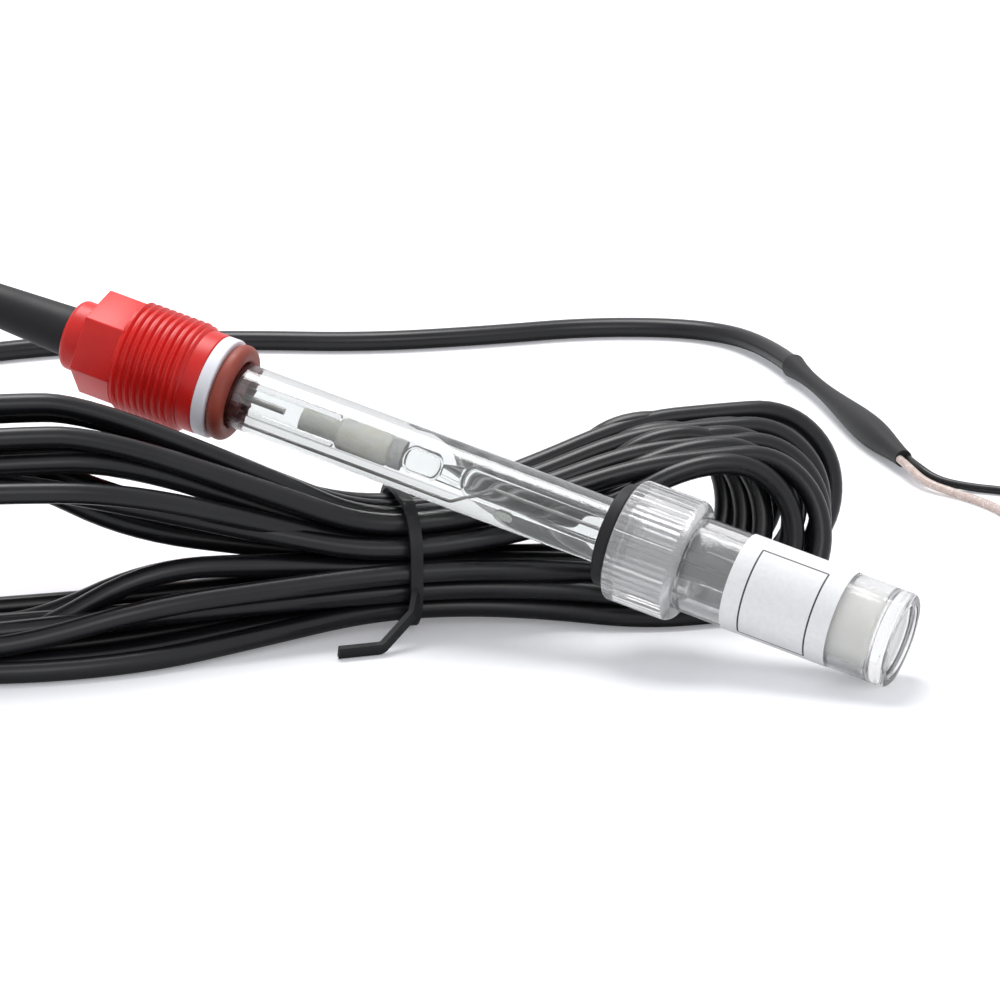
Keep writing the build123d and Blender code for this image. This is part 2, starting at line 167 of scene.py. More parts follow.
def combined(piece, other, operation):
    """Join, cut or keep the common part of two closed pieces. The other one is used up."""
    with_modifier(piece, "BOOLEAN", operation=operation, object=other, solver="EXACT")
    bpy.data.objects.remove(other)
    return piece


def joined(piece, *others):
    """Join pieces that are one moulding into one mesh."""
    pick_nothing()
    for part in (piece, *others):
        part.select_set(True)
    bpy.context.view_layer.objects.active = piece
    bpy.ops.object.join()
    return piece


def close_ends(piece):
    """Cap the open ends of a surface and point its faces outwards."""
    start_editing(piece)
    bpy.ops.mesh.fill_holes(sides=0)
    bpy.ops.mesh.select_all(action="SELECT")
    bpy.ops.mesh.quads_convert_to_tris()
    bpy.ops.mesh.normals_make_consistent(inside=False)
    stop_editing()


def on_probe(piece):
    """Move a piece's mesh from its own station axis to the probe."""
    piece.data.transform(probe_place)
    return piece


def wrinkled(piece, depth, size):
    """Push the surface in by a cloud pattern of a given size, in millimetres."""
    clouds = bpy.data.textures.new(piece.name + "_clouds", "CLOUDS")
    clouds.noise_scale = size * mm
    clouds.noise_depth = 3
    return with_modifier(
        piece, "DISPLACE", texture=clouds, texture_coords="LOCAL", strength=depth * mm, mid_level=1.0
    )


# Finishes: arithmetic on a Value adds Math nodes, and Finish.node adds any other node
class Value:
    def __init__(self, finish, socket):
        self.finish = finish
        self.socket = socket

    def __add__(self, other):
        return self.finish.maths("ADD", self, other)

    def __sub__(self, other):
        return self.finish.maths("SUBTRACT", self, other)

    def __mul__(self, other):
        return self.finish.maths("MULTIPLY", self, other)

    def __lt__(self, other):
        return self.finish.maths("LESS_THAN", self, other)

    def __abs__(self):
        return self.finish.maths("ABSOLUTE", self)

    __radd__ = __add__
    __rmul__ = __mul__


class Finish:
    def __init__(self, name, kind="materials"):
        self.block = getattr(bpy.data, kind).new(name)
        self.block.use_nodes = True
        self.tree = self.block.node_tree
        self.tree.nodes.clear()

    def node(self, kind, settings=None, inputs=None, out=0):
        """One node: its type, its settings, then the values or links of its sockets."""
        made = self.tree.nodes.new("ShaderNode" + kind)
        for name, value in (settings or {}).items():
            if name == "stops":
                ramp = made.color_ramp
                while len(ramp.elements) < len(value):
                    ramp.elements.new(1.0)
                for stop, (place, shade) in zip(ramp.elements, value):
                    stop.position = place
                    stop.color = (*shade, 1.0)
            else:
                setattr(made, name, value)
        for name, value in (inputs or {}).items():
            if isinstance(value, Value):
                self.tree.links.new(value.socket, made.inputs[name])
            else:
                made.inputs[name].default_value = value
        return Value(self, made.outputs[out]) if made.outputs else made

    def maths(self, operation, first, second=0.0):
        return self.node("Math", {"operation": operation}, {0: first, 1: second})

    def place(self):
        return self.node("TexCoord", out="Object")

    def place_on_probe(self, stretch=(1.0, 1.0, 1.0)):
        """Object coordinates turned so that Z is the station along the probe, and stretched."""
        back = probe_turn.transposed()
        turned_place = self.node(
            "Mapping",
            {"vector_type": "POINT"},
            {"Vector": self.place(), "Rotation": back.to_euler(), "Location": -(back @ sealing_face)},
        )
        return self.node("VectorMath", {"operation": "MULTIPLY"}, {0: turned_place, 1: stretch})

    def clouds(self, scale, detail=3.0, roughness=0.55, at=None):
        place = at or self.place()
        inputs = {"Vector": place, "Scale": scale, "Detail": detail, "Roughness": roughness}
        return self.node("TexNoise", {}, inputs, out=0)

    def ramp(self, value, stops):
        return self.node("ValToRGB", {"stops": stops}, {"Fac": value})

    def shade(self, factor, first, second):
        """A colour between two colours or links."""
        inputs = {0: factor}
        for slot, colour in ((6, first), (7, second)):
            inputs[slot] = colour if isinstance(colour, Value) else (*colour, 1.0)
        return self.node("Mix", {"data_type": "RGBA"}, inputs, out=2)

    def bump(self, height, depth, strength=1.0):
        """A normal from a height, with the depth of the relief in millimetres."""
        inputs = {"Height": height, "Distance": depth * mm, "Strength": strength}
        return self.node("Bump", {}, inputs)

    def surface(self, **inputs):
        """The Principled surface. Words of a socket's name are joined by an underscore."""
        named = {name.replace("_", " "): value for name, value in inputs.items()}
        shader = self.node("BsdfPrincipled", {}, named)
        self.node("OutputMaterial", {}, {"Surface": shader})
        return self.block


def red_moulding():
    finish = Finish("red_moulding")
    flow = finish.clouds(90.0, 4.0)
    grain = finish.clouds(1600.0, 2.0)
    colour = finish.ramp(flow, [(0.3, (0.60, 0.010, 0.008)), (0.7, (0.78, 0.022, 0.016))])
    return finish.surface(
        Base_Color=colour,
        Roughness=0.3 + 0.16 * flow,
        Normal=finish.bump(grain + 2.0 * flow, 0.02, 0.5),
        Subsurface_Weight=0.25,
        Subsurface_Radius=(1.0, 0.12, 0.08),
        Subsurface_Scale=1.2 * mm,
        Specular_IOR_Level=0.4,
    )


def white_moulding():
    finish = Finish("white_moulding")
    flow = finish.clouds(140.0)
    colour = finish.ramp(flow, [(0.3, (0.80, 0.80, 0.86)), (0.7, (0.90, 0.90, 0.94))])
    return finish.surface(
        Base_Color=colour,
        Roughness=0.38 + 0.14 * flow,
        Normal=finish.bump(finish.clouds(2000.0), 0.01, 0.4),
        Subsurface_Weight=0.15,
        Subsurface_Radius=(1.0, 0.9, 0.8),
        Subsurface_Scale=0.8 * mm,
    )


def brown_silicone():
    finish = Finish("brown_silicone")
    flow = finish.clouds(160.0, 4.0)
    dust = finish.clouds(900.0, 3.0)
    colour = finish.ramp(flow, [(0.3, (0.22, 0.032, 0.018)), (0.7, (0.34, 0.058, 0.034))])
    return finish.surface(
        Base_Color=colour,
        Roughness=0.42 + 0.2 * dust,
        Normal=finish.bump(dust, 0.03, 0.5),
        Subsurface_Weight=0.1,
        Subsurface_Radius=(1.0, 0.2, 0.1),
        Subsurface_Scale=0.6 * mm,
    )


def brown_resin():
    finish = Finish("brown_resin")
    lumps = finish.clouds(420.0, 4.0)
    colour = finish.ramp(lumps, [(0.3, (0.085, 0.018, 0.020)), (0.75, (0.27, 0.080, 0.085))])
    return finish.surface(
        Base_Color=colour,
        Roughness=0.12 + 0.2 * lumps,
        Normal=finish.bump(lumps, 0.3, 0.9),
        Subsurface_Weight=0.3,
        Subsurface_Radius=(1.0, 0.35, 0.3),
        Subsurface_Scale=1.0 * mm,
    )


def drawn_glass(name, refraction, waviness):
    """Glass drawn along the probe, with faint long striae."""
    finish = Finish(name)
    striae = finish.clouds(1.0, 2.0, at=finish.place_on_probe((900.0, 900.0, 14.0)))
    smudge = finish.clouds(70.0, 4.0)
    return finish.surface(
        Base_Color=finish.ramp(smudge, [(0.2, (0.96, 0.975, 0.97)), (0.8, (0.99, 0.99, 0.99))]),
        Roughness=0.02 * smudge,
        Normal=finish.bump(striae, waviness),
        Transmission_Weight=1.0,
        IOR=refraction,
    )


def wet_cotton():
    finish = Finish("wet_cotton")
    fibres = finish.clouds(1500.0, 6.0, 0.7)
    tufts = finish.clouds(420.0, 4.0)
    colour = finish.ramp(tufts, [(0.3, (0.90, 0.87, 0.74)), (0.65, (1.0, 0.985, 0.92))])
    return finish.surface(
        Base_Color=colour,
        Roughness=0.6 + 0.3 * fibres,
        Normal=finish.bump(fibres + 2.0 * tufts, 0.25, 0.8),
        Subsurface_Weight=0.5,
        Subsurface_Radius=(1.0, 0.95, 0.8),
        Subsurface_Scale=1.0 * mm,
    )


def grey_felt():
    finish = Finish("grey_felt")
    fibres = finish.clouds(1300.0, 6.0, 0.7)
    return finish.surface(
        Base_Color=finish.ramp(fibres, [(0.3, (0.50, 0.51, 0.50)), (0.7, (0.70, 0.71, 0.70))]),
        Roughness=0.7 + 0.2 * fibres,
        Normal=finish.bump(fibres, 0.15, 0.8),
    )


def porous_ceramic():
    finish = Finish("porous_ceramic")
    pores = finish.clouds(2600.0, 5.0, 0.7)
    return finish.surface(
        Base_Color=finish.ramp(pores, [(0.35, (0.34, 0.37, 0.34)), (0.7, (0.58, 0.61, 0.57))]),
        Roughness=0.5 + 0.4 * pores,
        Normal=finish.bump(pores, 0.1, 0.8),
    )


def silver_wire():
    finish = Finish("silver_wire")
    marks = finish.clouds(1.0, 3.0, at=finish.place_on_probe((5000.0, 5000.0, 260.0)))
    return finish.surface(
        Base_Color=finish.ramp(marks, [(0.3, (0.20, 0.19, 0.19)), (0.7, (0.42, 0.41, 0.40))]),
        Roughness=0.3 + 0.3 * marks,
        Metallic=0.8 + 0.2 * marks,
        Normal=finish.bump(marks, 0.02, 0.6),
    )


def tinned_strands():
    finish = Finish("tinned_strands")
    tin = finish.clouds(2400.0, 4.0)
    return finish.surface(
        Base_Color=finish.ramp(tin, [(0.3, (0.52, 0.49, 0.46)), (0.7, (0.80, 0.78, 0.75))]),
        Roughness=0.25 + 0.25 * tin,
        Metallic=1.0,
        Normal=finish.bump(tin, 0.03, 0.6),
    )


def black_rubber():
    finish = Finish("black_rubber")
    grain = finish.clouds(1800.0, 4.0, 0.65)
    dust = finish.clouds(110.0, 5.0)
    return finish.surface(
        Base_Color=finish.ramp(dust, [(0.3, (0.006, 0.006, 0.007)), (0.75, (0.015, 0.015, 0.017))]),
        Roughness=0.42 + 0.25 * dust,
        Normal=finish.bump(grain, 0.03, 0.6),
        Specular_IOR_Level=0.3,
    )


def black_jacket():
    """Extruded cable jacket: a soft sheen, faint scuffs and a little dust."""
    finish = Finish("black_jacket")
    grain = finish.clouds(1500.0, 4.0, 0.6)
    scuffs = finish.clouds(60.0, 6.0, 0.6)
    return finish.surface(
        Base_Color=finish.ramp(scuffs, [(0.3, (0.004, 0.004, 0.005)), (0.75, (0.011, 0.011, 0.013))]),
        Roughness=0.22 + 0.2 * scuffs,
        Normal=finish.bump(grain, 0.02, 0.6),
        Specular_IOR_Level=0.36,
    )


def black_sleeve():
    finish = Finish("black_sleeve")
    grain = finish.clouds(700.0, 5.0, 0.65)
    dust = finish.clouds(150.0, 5.0)
    return finish.surface(
        Base_Color=finish.ramp(dust, [(0.3, (0.006, 0.006, 0.007)), (0.75, (0.014, 0.014, 0.015))]),
        Roughness=0.42 + 0.22 * dust,
        Normal=finish.bump(grain, 0.06, 0.7),
        Specular_IOR_Level=0.32,
    )


def clear_insulation():
    finish = Finish("clear_insulation")
    strands = finish.clouds(900.0, 3.0)
    return finish.surface(
        Base_Color=finish.ramp(strands, [(0.3, (0.74, 0.56, 0.48)), (0.7, (0.92, 0.82, 0.78))]),
        Roughness=0.18 + 0.15 * strands,
        Normal=finish.bump(strands, 0.03, 0.5),
        Transmission_Weight=0.35,
        IOR=1.42,
    )


def clear_moulding(name, haze):
    """Clear moulded plastic. Haze is the share of light that scatters in it."""
    finish = Finish(name)
    flow = finish.clouds(180.0, 4.0)
    fine = finish.clouds(900.0, 3.0)
    return finish.surface(
        Base_Color=finish.ramp(flow, [(0.3, (0.97, 0.97, 0.98)), (0.7, (0.9991, 0.9991, 1.0))]),
        Roughness=0.03 + 0.06 * flow,
        Normal=finish.bump(fine + 3.0 * flow, 0.02, 0.5),
        Transmission_Weight=1.0 - haze,
        IOR=1.49,
    )


# The label's border, in stations and angles about the probe
label_radius = 8.75
border_station = 114.0
border_half_length = 6.3
border_middle = math.radians(78.1)
border_half_angle = math.radians(59.5)
border_line = 0.32


def label_film():
    """White film with a plain thin border, drawn by station and angle about the probe."""
    finish = Finish("label_film")
    at = finish.place_on_probe()
    parts = finish.node("SeparateXYZ", {}, {"Vector": at})
    up, side, station = (Value(finish, parts.socket.node.outputs[i]) for i in range(3))
    angle = finish.maths("ARCTAN2", side, up)
    from_middle = abs(angle - border_middle)
    along = abs(station - border_station * mm)
    turn_line = abs(along - border_half_length * mm) < border_line / 2 * mm
    turn_line = turn_line * (from_middle < border_half_angle)
    long_line = abs(from_middle - border_half_angle) < border_line / 2 / label_radius
    long_line = long_line * (along < border_half_length * mm)
    ink = finish.maths("MAXIMUM", turn_line, long_line)
    fibres = finish.clouds(1200.0, 4.0)
    paper = finish.ramp(fibres, [(0.3, (0.84, 0.84, 0.85)), (0.7, (0.90, 0.90, 0.90))])
    return finish.surface(
        Base_Color=finish.shade(ink, paper, (0.03, 0.03, 0.035)),
        Roughness=0.4 + 0.15 * fibres,
        Normal=finish.bump(fibres, 0.01, 0.4),
        Subsurface_Weight=0.2,
        Subsurface_Radius=(1.0, 1.0, 1.0),
        Subsurface_Scale=0.5 * mm,
    )


def wet_sponge_foam():
    finish = Finish("wet_sponge_foam")
    pores = finish.node(
        "TexVoronoi", {"feature": "F1"}, {"Vector": finish.place(), "Scale": 1500.0}, out="Distance"
    )
    tint = finish.clouds(90.0, 3.0)
    colour = finish.ramp(tint, [(0.3, (0.86, 0.86, 0.78)), (0.7, (0.93, 0.93, 0.89))])
    return finish.surface(
        Base_Color=colour,
        Roughness=0.7 + 0.2 * tint,
        Normal=finish.bump(pores, 0.1, 0.5),
        Subsurface_Weight=0.5,
        Subsurface_Radius=(1.0, 1.0, 0.9),
        Subsurface_Scale=2.0 * mm,
    )


red = red_moulding()
white = white_moulding()
silicone = brown_silicone()
resin = brown_resin()
shaft_glass = drawn_glass("shaft_glass", 1.50, 0.0012)
inner_glass = drawn_glass("inner_glass", 1.12, 0.004)
gel = drawn_glass("gel", 1.37, 0.0008)
cotton = wet_cotton()
felt = grey_felt()
ceramic = porous_ceramic()
silver = silver_wire()
tinned = tinned_strands()
rubber = black_rubber()
jacket = black_jacket()
sleeve = black_sleeve()
insulation = clear_insulation()
collar_plastic = clear_moulding("collar_plastic", 0.2)
bottle_plastic = clear_moulding("bottle_plastic", 0.06)
film = label_film()
foam = wet_sponge_foam()


def piece_done(piece, finish, body, slot_name, *nodes):
    """Give a finished piece its material and body, and hide the nodes that it stands for. The slot name is
    not used.
    """
    piece.data.materials.clear()
    piece.data.materials.append(finish)
    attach(piece, body)
    if nodes:
        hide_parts(*nodes)


# Camera, at the photograph's angle and distance
camera_azimuth = math.radians(22.2)
camera_elevation = math.radians(18.0)
camera_place = Vector((503.81, -1173.57, 436.80)) * mm
lens_length = 270.0


def set_camera():
    back = Vector((
        math.sin(camera_azimuth) * math.cos(camera_elevation),
        -math.cos(camera_azimuth) * math.cos(camera_elevation),
        math.sin(camera_elevation),
    ))
    lens = bpy.data.cameras.new("camera")
    lens.lens = lens_length
    lens.sensor_width = 36.0
    lens.clip_start = 0.1
    lens.clip_end = 20.0
    camera = bpy.data.objects.new("camera", lens)
    bpy.context.scene.collection.objects.link(camera)
    camera.location = camera_place
    camera.rotation_mode = "QUATERNION"
    camera.rotation_quaternion = (-back).to_track_quat("-Z", "Y")
    bpy.context.scene.camera = camera


set_camera()


# Cords. The lead's routes repeat the tube's points, and the hank between them is
# wound turn by turn between its places in the tie
cable_d = 3.9
core_wire_d = 1.6
tie_foot = Vector((5.06, 1.5, 0))
hank_turn = math.radians(36.0)
hank_along = Vector((math.cos(hank_turn), math.sin(hank_turn), 0))
hank_across = Vector((-math.sin(hank_turn), math.cos(hank_turn), 0))
hank_left_end = -108.0

row_heights = [3.6, 7.6, 11.6, 15.6, 19.6]
row_counts = [4, 5, 6, 5, 4]
column_step = 4.05

# For each turn: its top and its bottom place in the tie as (row, column), then the right
# lobe and the left lobe that follows it, as (reach, crest height, crest across, lowest
# height, lowest across)
turns = [
    ((2, 5), (2, 2), (62, 24, 12, 9, 1), (86, 24, 7, 14, -4)),
    ((2, 4), (2, 1), (64, 23, 7, 9, -5), (88, 20, 2, 16, -9)),
    ((2, 3), (2, 0), (66, 24, 2, 9, -11), (91, 27, -4, 11, -16)),
    ((3, 0), (1, 0), (70, 22, -8, 6, -15), (95, 32, -12, 8, -12)),
    ((3, 1), (1, 1), (71, 25, -3, 6, -9), (93, 36, -6, 7, -7.5)),
    ((3, 2), (1, 2), (73, 26, 2, 6, -4), (97, 38, -1, 5, -3)),
    ((3, 3), (1, 3), (75, 27, 7, 5, 1), (94, 37, 4, 7, 2)),
    ((3, 4), (1, 4), (72, 27, 12, 6, 6), (98, 36, 9, 5, 6)),
    ((4, 3), (0, 3), (83, 30, 12, 2, 6), (100, 42, 6, 2, -1)),
    ((4, 2), (0, 2), (79, 29, 6, 2, -1), (103, 45, 1, 2, -7)),
    ((4, 1), (0, 1), (77, 28, 0, 2, -9), (101, 41, -6, 2, -15)),
    ((4, 0), (0, 0), (75, 27, -6, 2, -17), (98, 24, -15, 2, -20)),
]
least_loop = 26.0

# Share of a strand's way to its lobe's path at 24 mm from the tie, across and up
leaving_across = 0.3
leaving_up = 0.34

# Half a side of the octagon round a unit circle. It rounds a lobe's end
octagon = 0.414


def in_hank(along, across, height):
    return tie_foot + hank_along * along + hank_across * across + Vector((0, 0, height))


def tie_place(row, column):
    """Across and height of one strand in the tie."""
    return (column - (row_counts[row] - 1) / 2) * column_step, row_heights[row]


def lobe(side, high, low, reach, crest, crest_across, floor, floor_across):
    """Points of one lobe from its high place in the tie, round its end and back to its low one."""
    (high_across, high_z), (low_across, low_z) = high, low
    swell = max(0.0, least_loop - (crest - floor)) / 2
    top = crest + swell
    bottom = max(2.0, floor - swell)
    end_r = (top - bottom) / 2
    middle = (top + bottom) / 2
    lean = (crest_across - floor_across) / 2
    centre_across = (crest_across + floor_across) / 2
    high_leaving = high_across + leaving_across * (crest_across - high_across)
    low_leaving = low_across + leaving_across * (floor_across - low_across)
    upper = [
        (8, high_across, high_z),
        (24, high_leaving, high_z + leaving_up * (crest - high_z)),
        (0.56 * reach, crest_across, crest + 0.04 * (high_z - crest)),
        (reach - 1.5 * end_r, crest_across, top),
        (reach - (1 - octagon) * end_r, crest_across, top),
        (reach, centre_across + octagon * lean, middle + octagon * end_r),
    ]
    lower = [
        (8, low_across, low_z),
        (24, low_leaving, (low_z + floor) / 2),
        (0.54 * reach, floor_across, floor),
        (reach - 1.5 * end_r, floor_across, bottom),
        (reach - (1 - octagon) * end_r, floor_across, bottom),
        (reach, centre_across - octagon * lean, middle - octagon * end_r),
    ]
    return [in_hank(side * along, across, height) for along, across, height in upper + lower[::-1]]


def wound_hank():
    """The turns, over the top to the right and back along the surface to the left."""
    points = []
    for turn, (top, bottom, right, left) in enumerate(turns):
        points += lobe(1, tie_place(*top), tie_place(*bottom), *right)
        if turn + 1 < len(turns):
            next_top = tie_place(*turns[turn + 1][0])
            points += lobe(-1, next_top, tie_place(*bottom), *left)[::-1]
    return points


boot_tip = Vector((-102.217, 0, 56.975))
boot_back = -probe_axis
lead_entry = in_hank(hank_left_end, 4.0, 31.0)
tail_exit = in_hank(hank_left_end, -8.0, 5.5)
cable_r = cable_d / 2
shrink_start = Vector((20.6, 164.4, 2.9))
shrink_end = Vector((60.8, 115.4, 2.9))
shrink_line = (shrink_end - shrink_start).normalized()
shrink_side = Vector((-shrink_line.y, shrink_line.x, 0))

lead_route = [
    boot_tip - boot_back * 4,
    boot_tip + boot_back * 14,
    (-133, -12, 60),
    (-144, -35, 54),
    (-143, -58, 47),
    (-132, -77, 40),
    (-113, -80, 35),
    lead_entry - hank_along * 16,
    lead_entry,
    in_hank(-80, 10, 33),
    in_hank(-52, 12, 30),
    in_hank(-24, 11, 20),
    in_hank(-8, 10.1, 11.6),
]
tail_route = [
    in_hank(-8, -6.1, 3.6),
    in_hank(-26, -11, 2.6),
    in_hank(-52, -20, 2.0),
    in_hank(-82, -19, 2.0),
    tail_exit - Vector((0, 0, 3.0)),
    tail_exit - hank_along * 15 - Vector((0, 0, 3.3)),
    (-107, -86, cable_r),
    (-128, -83, cable_r),
    (-142, -66, cable_r),
    (-147, -42, cable_r),
    (-144, -10, cable_r),
    (-146, 28, cable_r),
    (-151, 68, cable_r),
    (-144, 104, cable_r),
    (-119, 128, cable_r),
    (-90, 142, cable_r),
    (-66, 150, cable_r),
    (-46, 163, cable_r),
    (-27, 178, cable_r),
    (-5, 185, cable_r),
    shrink_start - shrink_line * 14,
    shrink_start + shrink_line * 3,
]
core_r = core_wire_d / 2
clear_route = [
    shrink_end - shrink_side * core_r,
    shrink_end - shrink_side * core_r + shrink_line * 5.2,
    (68.3, 106.8, 1.5),
    (75.4, 104.9, core_r),
    (82.2, 101.6, core_r),
    (88.4, 96.4, core_r),
    (93.6, 90.6, core_r),
]
black_route = [
    shrink_end + shrink_side * core_r,
    shrink_end + shrink_side * core_r + shrink_line * 5.2,
    (70.0, 109.0, 1.5),
    (76.6, 109.6, core_r),
    (83.2, 110.2, core_r),
    (89.8, 108.8, core_r),
    (96.0, 105.6, core_r),
]


def laid_cord(name, route, diameter, smoothness):
    """One smooth cord on a route of control points in millimetres."""
    curve = bpy.data.curves.new(name, "CURVE")
    curve.dimensions = "3D"
    curve.bevel_depth = diameter / 2 * mm
    curve.bevel_resolution = 4
    curve.use_fill_caps = True
    spline = curve.splines.new("NURBS")
    spline.points.add(len(route) - 1)
    for point, place in zip(spline.points, route):
        point.co = (*(Vector(place) * mm), 1.0)
    spline.order_u = 3
    spline.use_endpoint_u = True
    spline.resolution_u = smoothness
    spline.use_smooth = True
    cord = bpy.data.objects.new(name, curve)
    bpy.context.scene.collection.objects.link(cord)
    return cord


cable = laid_cord("cable", lead_route + wound_hank() + tail_route, cable_d, 7)
piece_done(cable, jacket, "root", "black_jacket", "cord_lead", "cord_hank", "cord_tail")
clear_wire = laid_cord("clear_wire", clear_route, core_wire_d, 10)
piece_done(clear_wire, insulation, "root", "clear_insulation", "clear_core_wire")
black_wire = laid_cord("black_wire", black_route, core_wire_d, 10)
piece_done(black_wire, jacket, "root", "black_jacket", "black_core_wire")


# Screw-in head: a threaded cylinder, a hexagon and a rear collar as one moulding
thread_start = -16.6
thread_end = -3.0
thread_pitch = 1.411
thread_crest_r = 10.2
thread_root_r = 9.52
relief_r = 9.35
hex_start = -24.1
hex_flat_r = 8.45
hex_roll = math.radians(45.5)
head_rear = -28.4
rear_collar_r = 6.5
socket_r = 6.04
socket_floor = -19.54
boot_socket_r = 4.0
boot_socket_end = -21.4
hex_lap = 0.4
hex_bevel = 0.28
head_steps = 96


def helix_band(name, profile, pitch, first, turns_made):
    """A helical surface: one pitch of (radius, height) profile, screwed round the axis."""
    band = drawn_line(name, [(radius, 0, first + height) for radius, height in profile])
    with_modifier(
        band, "SCREW", axis="Z", angle=2 * math.pi, screw_offset=pitch * mm,
        iterations=turns_made, steps=head_steps, render_steps=head_steps,
    )
    return finish_mesh(band)


def threaded_head():
    crest = 0.10 * thread_pitch
    root = 0.14 * thread_pitch
    flank = (thread_pitch - 2 * crest - 2 * root) / 2
    soft = 0.06
    profile = [
        (thread_root_r, 0),
        (thread_root_r, root),
        (thread_crest_r - soft, root + flank),
        (thread_crest_r, root + flank + soft),
        (thread_crest_r, root + flank + 2 * crest - soft),
        (thread_crest_r - soft, root + flank + 2 * crest),
        (thread_root_r, root + 2 * flank + 2 * crest),
        (thread_root_r, thread_pitch),
    ]
    turns_made = math.ceil((thread_end - thread_start) / thread_pitch) + 4
    first = thread_start - 2 * thread_pitch
    body = helix_band("threaded_head_moulding", profile, thread_pitch, first, turns_made)
    close_ends(body)
    blank = turned("blank", [
        (thread_root_r - 0.1, thread_start - 0.02),
        (thread_crest_r + 0.15, thread_start + 0.9),
        (thread_crest_r + 0.15, thread_end - 1.0),
        (thread_root_r - 0.1, thread_end + 0.02),
    ], steps=head_steps)
    combined(body, blank, "INTERSECT")
    combined(body, bored("thread_bore", socket_r, socket_floor, 1.0), "DIFFERENCE")
    relief = turned("relief", rounded([
        (socket_r, thread_end - 1.2, 0),
        (relief_r, thread_end - 1.2, 0),
        (relief_r, 0.0, 0.25),
        (socket_r, 0.0, 0),
    ]), closed=True, steps=head_steps)
    nut = hexagon()
    combined(nut, bored("nut_bore", socket_r, socket_floor, 1.0), "DIFFERENCE")
    combined(nut, bored("nut_rear_bore", boot_socket_r, head_rear - 1.0, boot_socket_end), "DIFFERENCE")
    rear = turned("rear_collar", rounded([
        (boot_socket_r, head_rear, 0.15),
        (rear_collar_r, head_rear, 1.3),
        (rear_collar_r, hex_start + 1.0, 0),
        (boot_socket_r, hex_start + 1.0, 0),
    ]), closed=True, steps=head_steps)
    joined(body, relief, nut, rear)
    finish_mesh(body, 32.0)
    piece_done(on_probe(body), red, "root", "red_plastic", "threaded_head")


def bored(name, radius, start, end):
    return turned(name, [(radius, start), (radius, end)], steps=head_steps)


def hexagon():
    """The spanner hexagon, with its edges eased by a small bevel."""
    length = thread_start - hex_start + hex_lap
    radius = hex_flat_r / math.cos(math.pi / 6)
    pick_nothing()
    bpy.ops.mesh.primitive_cylinder_add(
        vertices=6, radius=radius * mm, depth=length * mm,
        location=(0, 0, (hex_start + length / 2) * mm), rotation=(0, 0, hex_roll - math.pi / 2),
    )
    piece = started("hexagon")
    start_editing(piece)
    bpy.ops.mesh.bevel(offset=hex_bevel * mm, segments=3, affect="EDGES")
    stop_editing()
    return piece


threaded_head()


# Sealing rings on the shaft
def sealing_rings():
    ring = turned("thrust_ring_moulding", rounded([
        (6.06, 0.05, 0.1),
        (9.3, 0.05, 0.2),
        (9.3, 2.5, 0.35),
        (6.06, 2.5, 0.1),
    ]), closed=True)
    piece_done(on_probe(ring), white, "root", "white_plastic", "thrust_ring")
    o_ring = turned("o_ring_moulding", rounded([
        (6.05, 2.56, 0.5),
        (8.95, 2.56, 1.3),
        (8.95, 5.55, 1.45),
        (6.05, 5.55, 0.9),
    ], arc_steps=10), closed=True)
    piece_done(on_probe(o_ring), silicone, "root", "brown_silicone", "o_ring")


sealing_rings()


# Glass: the shaft, the gel in it, and the tubes and stem inside
shaft_end = 113.0
shaft_r = 6.0
bore_r = 5.0


def glasswork():
    shaft = turned("shaft", rounded([
        (bore_r, -19.5, 0),
        (shaft_r, -19.5, 0),
        (shaft_r, 20.0, 0),
        (shaft_r, 66.0, 0),
        (shaft_r, shaft_end, 2.85),
        (2.24, shaft_end, 0),
        (2.24, shaft_end - 1.0, 0),
        (bore_r, shaft_end - 1.0, 1.85),
        (bore_r, 66.0, 0),
        (bore_r, 20.0, 0),
    ], arc_steps=8), closed=True)
    piece_done(on_probe(shaft), shaft_glass, "root", "clear_glass", "glass_shaft")
    meeting = 0.02
    filling = turned("gel_filling", rounded([
        (bore_r + meeting, 2.0, 0),
        (bore_r + meeting, 60.0, 0),
        (bore_r + meeting, shaft_end - 1.0 + meeting, 1.85),
        (1.0, shaft_end - 1.0 + meeting, 0),
    ], closed=False, arc_steps=8))
    piece_done(on_probe(filling), gel, "root", "clear_glass")
    reference = turned("reference_tube_glass", rounded([
        (1.5, -16.0, 0),
        (2.2, -16.0, 0),
        (2.2, 25.4, 0.3),
        (1.5, 25.4, 0.3),
    ], arc_steps=4), closed=True, steps=64)
    piece_done(on_probe(reference), inner_glass, "root", "clear_glass", "reference_tube")


glasswork()


def sealant():
    """The sealant's uneven front, seen through the glass ahead of the rings."""
    ring = turned("sealant", [
        (3.0, 0.6), (4.9, 0.6), (4.95, 2.0), (4.95, 3.2), (4.95, 4.4), (4.95, 5.6),
        (4.95, 6.8), (4.8, 7.8), (4.2, 8.4), (3.4, 8.2), (3.0, 7.0), (3.0, 4.0),
    ], closed=True, steps=head_steps)
    wrinkled(ring, 1.8, 1.5)
    piece_done(on_probe(ring), resin, "root", "brown_resin")


sealant()


def dress(node, finish):
    """A CAD node that keeps its shape gets its material."""
    piece = frame["nodes"][node]
    piece.data.materials.clear()
    piece.data.materials.append(finish)


for node, finish in (
    ("sensing_stem", inner_glass),
    ("measuring_wire", silver),
    ("reference_wire", silver),
    ("ceramic_junction", ceramic),
    ("cotton_plug", cotton),
    ("felt_spacer", felt),
    ("glass_bead", inner_glass),
    ("glass_seat", inner_glass),
    ("potting_plug", resin),
    ("cable_boot", rubber),
    ("rubber_seal", rubber),
    ("knurled_collar", collar_plastic),
    ("storage_bottle", bottle_plastic),
    ("bottle_label", film),
    ("wet_sponge", foam),
    ("cable_tie", rubber),
    ("heat_shrink", sleeve),
    ("clear_wire_tip", tinned),
    ("black_wire_tip", tinned),
):
    dress(node, finish)


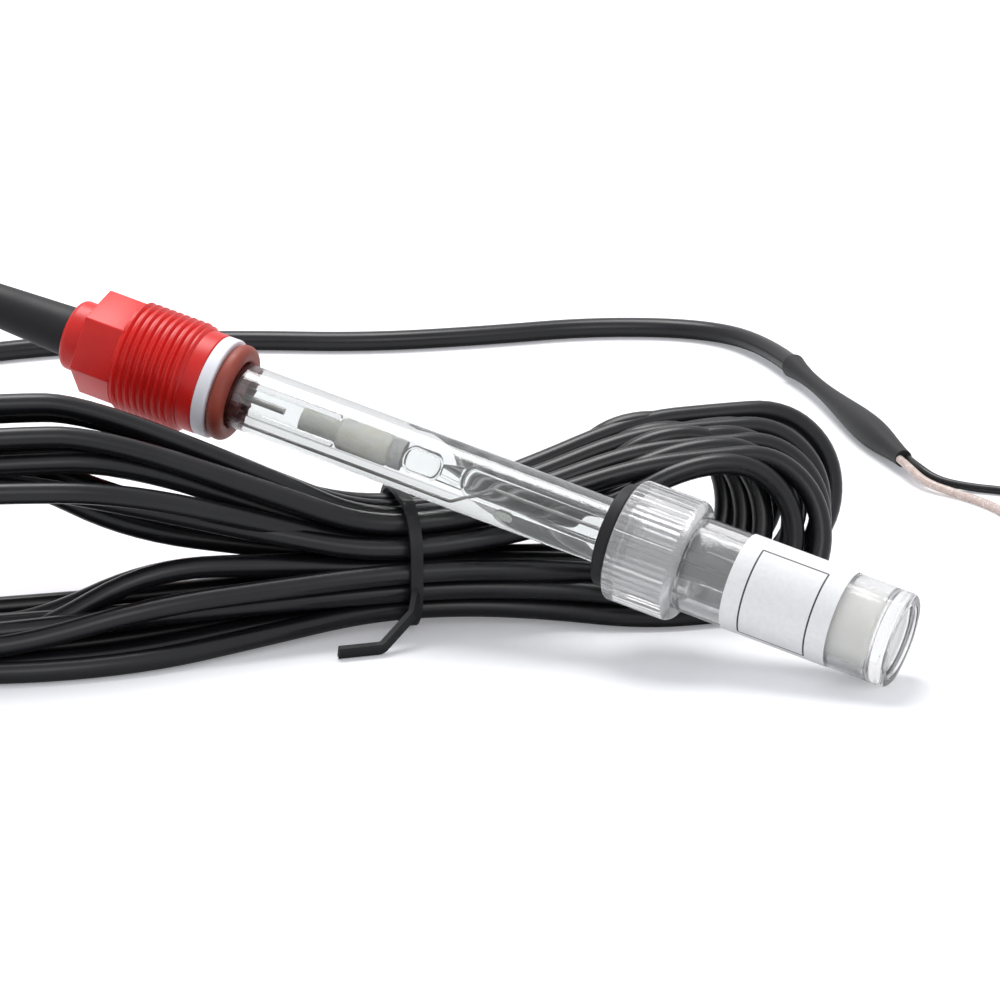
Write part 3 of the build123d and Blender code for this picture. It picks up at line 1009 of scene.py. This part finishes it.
# Studio: a pale floor that keeps the shadow, a white surround and soft lamps
def floor_finish():
    finish = Finish("floor_finish")
    seen = finish.node("LightPath", out="Is Camera Ray")
    mottle = finish.clouds(3.0, 2.0)
    colour = finish.ramp(mottle, [(0.3, (0.86, 0.86, 0.87)), (0.7, (0.88, 0.88, 0.89))])
    paper = finish.node("BsdfPrincipled", {}, {
        "Base Color": colour,
        "Roughness": 0.8,
        "Specular IOR Level": 0.1,
        "Emission Color": finish.shade(seen, (0.0, 0.0, 0.0), (0.95, 0.95, 1.0)),
        "Emission Strength": 0.22,
    })
    finish.node("OutputMaterial", {}, {"Surface": paper})
    return finish.block


def surround():
    """White to the camera and in glass and gloss, and soft light for everything else."""
    finish = Finish("surround", "worlds")
    seen = finish.node("LightPath", out="Is Camera Ray")
    for ray in ("Is Glossy Ray", "Is Transmission Ray"):
        seen = finish.maths("MAXIMUM", seen, finish.node("LightPath", out=ray))
    soft = finish.node("Background", {}, {"Color": (0.93, 0.95, 1.0, 1.0), "Strength": 0.55})
    white_out = finish.node("Background", {}, {"Color": (0.955, 0.955, 0.975, 1.0), "Strength": 1.0})
    lit = finish.node("MixShader", {}, {0: seen, 1: soft, 2: white_out})
    finish.node("OutputWorld", {}, {"Surface": lit})
    bpy.context.scene.world = finish.block


def lamp(name, place, aim, size, power):
    light = bpy.data.lights.new(name, "AREA")
    light.shape = "DISK"
    light.size = size
    light.energy = power
    made = bpy.data.objects.new(name, light)
    bpy.context.scene.collection.objects.link(made)
    made.location = place
    made.rotation_mode = "QUATERNION"
    made.rotation_quaternion = (Vector(aim) - Vector(place)).to_track_quat("-Z", "Y")


def studio():
    pick_nothing()
    bpy.ops.mesh.primitive_plane_add(size=12.0, location=(0, 0, -0.0001))
    floor = started("floor")
    floor.data.materials.append(floor_finish())
    surround()
    lamp("key", (-0.25, 0.35, 1.1), (0, 0, 0), 0.7, 11.0)
    lamp("fill", (0.9, -1.2, 0.9), (0, 0, 0), 0.9, 5.0)


studio()
bpy.context.scene.view_settings.view_transform = "Standard"
